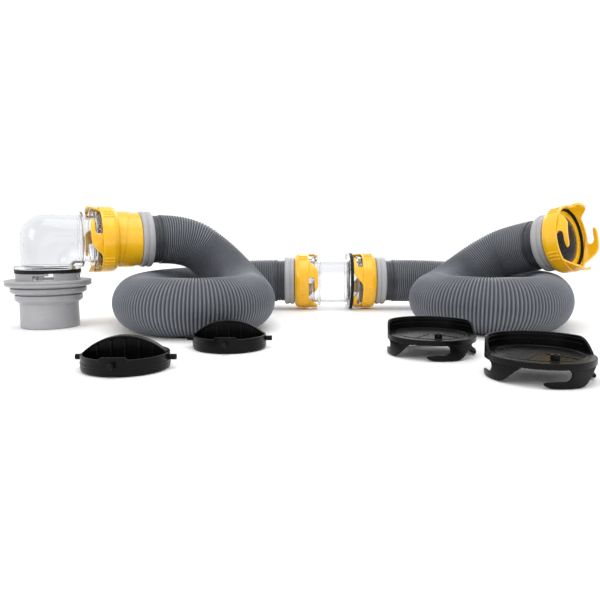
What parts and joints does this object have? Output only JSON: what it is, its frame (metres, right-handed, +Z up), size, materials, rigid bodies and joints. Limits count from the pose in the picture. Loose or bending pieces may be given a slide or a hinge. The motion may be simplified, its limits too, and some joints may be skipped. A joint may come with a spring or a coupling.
{
  "type": "sewer hose kit",
  "caption": "Corrugated waste hoses joined by a clear coupler, with bayonet fittings, a clear elbow on a stepped adapter, an open fitting and loose storage caps.",
  "frame": {"origin": "on the floor, below the middle of the box around the fittings and caps", "axes": "+X from the adapter to the open fitting, -Y to the caps at the front, +Z up"},
  "size_m": [0.9591, 0.6967, 0.197],
  "materials": {
    "hose": "satin vinyl",
    "cuff": "matte",
    "collar": "matte",
    "spigot": "matte",
    "yellow": "glossy",
    "seal": "matte",
    "clear": "clear, glossy",
    "grey": "satin",
    "black": "satin"
  },
  "bodies": {
    "hose_set": {"hose_left": "hose", "hose_right": "hose", "cuff_elbow": "cuff", "collar_elbow": "collar", "spigot_elbow": "spigot", "cuff_centre_left": "cuff", "collar_centre_left": "collar", "spigot_centre_left": "spigot", "cuff_centre_right": "cuff", "collar_centre_right": "collar", "spigot_centre_right": "spigot", "cuff_open": "cuff", "collar_open": "collar", "spigot_open": "spigot"},
    "elbow_ring": {"bayonet_ring_elbow": "yellow", "ring_seal_elbow": "seal"},
    "elbow": {"elbow_body": "clear", "elbow_gasket": "seal"},
    "adapter": {"adapter_body": "grey"},
    "coupler": {"coupler_body": "clear", "coupler_gasket": "seal"},
    "centre_left_ring": {"bayonet_ring_centre_left": "yellow", "ring_seal_centre_left": "seal"},
    "centre_right_ring": {"bayonet_ring_centre_right": "yellow", "ring_seal_centre_right": "seal"},
    "open_ring": {"bayonet_ring_open": "yellow", "ring_seal_open": "seal"},
    "lug_cap_left": {"lug_cap_1": "black"},
    "lug_cap_right": {"lug_cap_2": "black"},
    "bayonet_cap_left": {"bayonet_cap_1": "black", "bayonet_cap_seal_1": "seal"},
    "bayonet_cap_right": {"bayonet_cap_2": "black", "bayonet_cap_seal_2": "seal"}
  },
  "joints": [
    {"name": "elbow_ring_swivel", "type": "hinge", "parent": "hose_set", "child": "elbow_ring", "pos_m": [-0.31967, 0.09958, 0.139], "axis": [-0.8906, -0.4548, 0], "continuous": true},
    {"name": "elbow_unlock", "type": "hinge", "parent": "elbow_ring", "child": "elbow", "pos_m": [-0.31967, 0.09958, 0.139], "axis": [-0.8906, -0.4548, 0], "range_deg": [0, 33]},
    {"name": "adapter_unlock", "type": "hinge", "parent": "elbow", "child": "adapter", "pos_m": [-0.41407, 0.05136, 0.08], "axis": [0, 0, -1], "range_deg": [0, 26]},
    {"name": "coupler_swivel", "type": "hinge", "parent": "hose_set", "child": "coupler", "pos_m": [0.06, 0.292, 0.056], "axis": [1, 0, 0], "continuous": true},
    {"name": "centre_left_unlock", "type": "hinge", "parent": "coupler", "child": "centre_left_ring", "pos_m": [0.06, 0.292, 0.056], "axis": [-1, 0, 0], "range_deg": [0, 33]},
    {"name": "centre_right_unlock", "type": "hinge", "parent": "coupler", "child": "centre_right_ring", "pos_m": [0.06, 0.292, 0.056], "axis": [1, 0, 0], "range_deg": [0, 33]},
    {"name": "open_ring_swivel", "type": "hinge", "parent": "hose_set", "child": "open_ring", "pos_m": [0.40975, 0.0759, 0.13553], "axis": [0.6312, -0.7525, 0.1881], "continuous": true},
    {"name": "lug_cap_left_lift", "type": "slide", "parent": "hose_set", "child": "lug_cap_left", "axis": [0, 0, 1], "range_m": [0, 0.12]},
    {"name": "lug_cap_right_lift", "type": "slide", "parent": "hose_set", "child": "lug_cap_right", "axis": [0, 0, 1], "range_m": [0, 0.12]},
    {"name": "bayonet_cap_left_lift", "type": "slide", "parent": "hose_set", "child": "bayonet_cap_left", "axis": [0, 0, 1], "range_m": [0, 0.12]},
    {"name": "bayonet_cap_right_lift", "type": "slide", "parent": "hose_set", "child": "bayonet_cap_right", "axis": [0, 0, 1], "range_m": [0, 0.12]}
  ]
}
